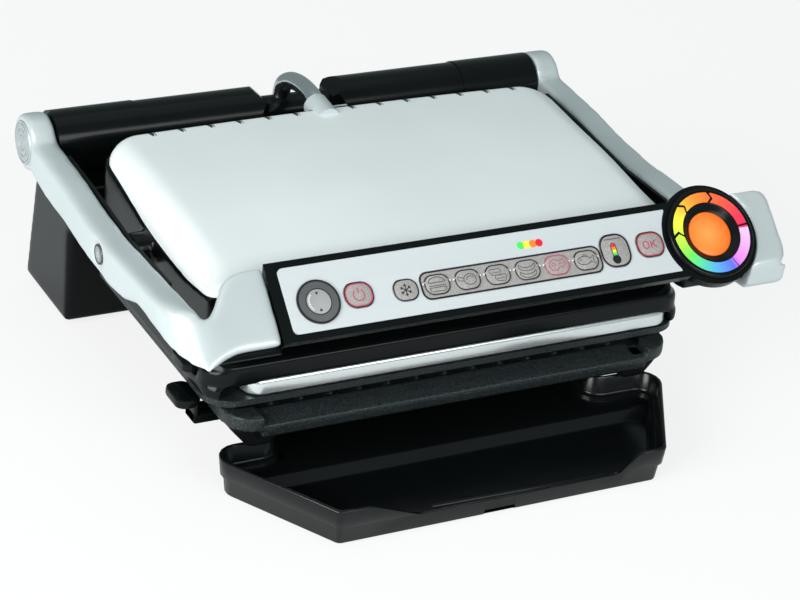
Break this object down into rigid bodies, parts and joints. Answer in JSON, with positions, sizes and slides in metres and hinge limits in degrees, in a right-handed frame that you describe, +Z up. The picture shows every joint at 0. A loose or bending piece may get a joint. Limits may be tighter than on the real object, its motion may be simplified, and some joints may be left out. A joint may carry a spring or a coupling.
{
  "type": "contact grill",
  "caption": "Contact grill with hinged arms, a floating upper plate, a control panel on the handle and a pull-out drip tray.",
  "frame": {"origin": "middle of the whole footprint at table level", "axes": "+X to the right as the user stands in front, -Y to the front where the tray pulls out, +Z up"},
  "size_m": [0.358, 0.326, 0.1353],
  "materials": {
    "black_matte": "fine matte black",
    "foot_rubber": "matte",
    "black_gloss": "semi-gloss black",
    "pin_steel": "turned",
    "circuit_board": "solder mask",
    "reflector_metal": "mill",
    "element_sheath": "heat darkened",
    "silver_paint": "satin silver paint",
    "hinge_disc": "satin grey disc",
    "panel_metal": "fine satin",
    "strip_plastic": "gloss strip with buttons",
    "emblem_metal": "polished",
    "ring_print": "coloured scale",
    "dome_glow": "emissive orange dome",
    "brushed_steel": "brushed",
    "tray_plastic": "satin black",
    "plate_coat": "speckled non-stick coat",
    "lever_plastic": "satin black",
    "button_rubber": "soft grey"
  },
  "bodies": {
    "base": {"rear_housing": "black_matte", "base_cover": "black_matte", "lower_tub": "black_matte", "rubber_feet": "foot_rubber", "hinge_sleeve_left": "black_gloss", "hinge_sleeve_right": "black_gloss", "hinge_beam_left": "black_gloss", "hinge_beam_right": "black_gloss", "hinge_core": "black_gloss", "hinge_pin_left": "pin_steel", "hinge_pin_right": "pin_steel", "cord_inlet": "black_matte", "power_board": "circuit_board", "lower_reflector": "reflector_metal", "lower_element": "element_sheath", "temperature_sensor": "element_sheath"},
    "lid": {"left_arm": "silver_paint", "right_arm": "silver_paint", "arm_liner_left": "black_matte", "arm_liner_right": "black_matte", "hinge_cap_left": "hinge_disc", "hinge_cap_right": "hinge_disc", "pivot_pin_left": "pin_steel", "pivot_pin_right": "pin_steel", "panel_frame": "black_gloss", "handle_shell": "black_gloss", "end_cap": "silver_paint", "control_plate": "panel_metal", "program_strip": "strip_plastic", "emblem_disc": "emblem_metal", "panel_screws": "pin_steel", "indicator_bezel": "black_matte", "color_ring": "ring_print", "indicator_led_board": "circuit_board", "indicator_dome": "dome_glow", "control_board": "circuit_board"},
    "upper": {"upper_housing": "black_gloss", "top_cover": "brushed_steel", "conduit": "tray_plastic", "conduit_boss": "silver_paint", "steel_band": "brushed_steel", "upper_reflector": "reflector_metal", "upper_element": "element_sheath"},
    "upper_plate": {"upper_plate": "plate_coat"},
    "lower_plate": {"lower_plate": "plate_coat"},
    "drip_tray": {"drip_tray": "tray_plastic"},
    "upper_lever": {"upper_release_lever": "lever_plastic"},
    "lower_lever": {"lower_release_lever": "lever_plastic"},
    "power_button": {"power_button": "button_rubber"},
    "frozen_button": {"frozen_button": "button_rubber"},
    "program_button_1": {"program_button_1": "button_rubber"},
    "program_button_2": {"program_button_2": "button_rubber"},
    "program_button_3": {"program_button_3": "button_rubber"},
    "program_button_4": {"program_button_4": "button_rubber"},
    "program_button_5": {"program_button_5": "button_rubber"},
    "program_button_6": {"program_button_6": "button_rubber"},
    "temperature_button": {"temperature_button": "button_rubber"},
    "confirm_button": {"confirm_button": "button_rubber"}
  },
  "joints": [
    {"name": "lid_hinge", "type": "hinge", "parent": "base", "child": "lid", "pos_m": [-0.011, 0.119, 0.1084], "axis": [-1, 0, 0], "range_deg": [0, 95]},
    {"name": "upper_float", "type": "hinge", "parent": "lid", "child": "upper", "pos_m": [-0.011, 0.003, 0.096], "axis": [-1, 0, 0], "range_deg": [-1.5, 1.5], "stiffness_Nm_per_rad": 60},
    {"name": "tray_slide", "type": "slide", "parent": "base", "child": "drip_tray", "axis": [0, -1, 0], "range_m": [0, 0.09]},
    {"name": "lower_plate_lift", "type": "slide", "parent": "base", "child": "lower_plate", "axis": [0, 0, 1], "range_m": [0, 0.0015]},
    {"name": "upper_plate_drop", "type": "slide", "parent": "upper", "child": "upper_plate", "axis": [0, 0, -1], "range_m": [0, 0.0015]},
    {"name": "lower_lever_press", "type": "slide", "parent": "base", "child": "lower_lever", "axis": [1, 0, 0], "range_m": [0, 0.004], "stiffness_N_per_m": 400},
    {"name": "upper_lever_press", "type": "slide", "parent": "upper", "child": "upper_lever", "axis": [1, 0, 0], "range_m": [0, 0.004], "stiffness_N_per_m": 400},
    {"name": "power_button_press", "type": "slide", "parent": "lid", "child": "power_button", "axis": [0, 0.6717, -0.7408], "range_m": [0, 0.0007], "stiffness_N_per_m": 300},
    {"name": "frozen_button_press", "type": "slide", "parent": "lid", "child": "frozen_button", "axis": [0, 0.6717, -0.7408], "range_m": [0, 0.0007], "stiffness_N_per_m": 300},
    {"name": "program_button_1_press", "type": "slide", "parent": "lid", "child": "program_button_1", "axis": [0, 0.6717, -0.7408], "range_m": [0, 0.0007], "stiffness_N_per_m": 300},
    {"name": "program_button_2_press", "type": "slide", "parent": "lid", "child": "program_button_2", "axis": [0, 0.6717, -0.7408], "range_m": [0, 0.0007], "stiffness_N_per_m": 300},
    {"name": "program_button_3_press", "type": "slide", "parent": "lid", "child": "program_button_3", "axis": [0, 0.6717, -0.7408], "range_m": [0, 0.0007], "stiffness_N_per_m": 300},
    {"name": "program_button_4_press", "type": "slide", "parent": "lid", "child": "program_button_4", "axis": [0, 0.6717, -0.7408], "range_m": [0, 0.0007], "stiffness_N_per_m": 300},
    {"name": "program_button_5_press", "type": "slide", "parent": "lid", "child": "program_button_5", "axis": [0, 0.6717, -0.7408], "range_m": [0, 0.0007], "stiffness_N_per_m": 300},
    {"name": "program_button_6_press", "type": "slide", "parent": "lid", "child": "program_button_6", "axis": [0, 0.6717, -0.7408], "range_m": [0, 0.0007], "stiffness_N_per_m": 300},
    {"name": "temperature_button_press", "type": "slide", "parent": "lid", "child": "temperature_button", "axis": [0, 0.6717, -0.7408], "range_m": [0, 0.0007], "stiffness_N_per_m": 300},
    {"name": "confirm_button_press", "type": "slide", "parent": "lid", "child": "confirm_button", "axis": [0, 0.6717, -0.7408], "range_m": [0, 0.0007], "stiffness_N_per_m": 300}
  ]
}
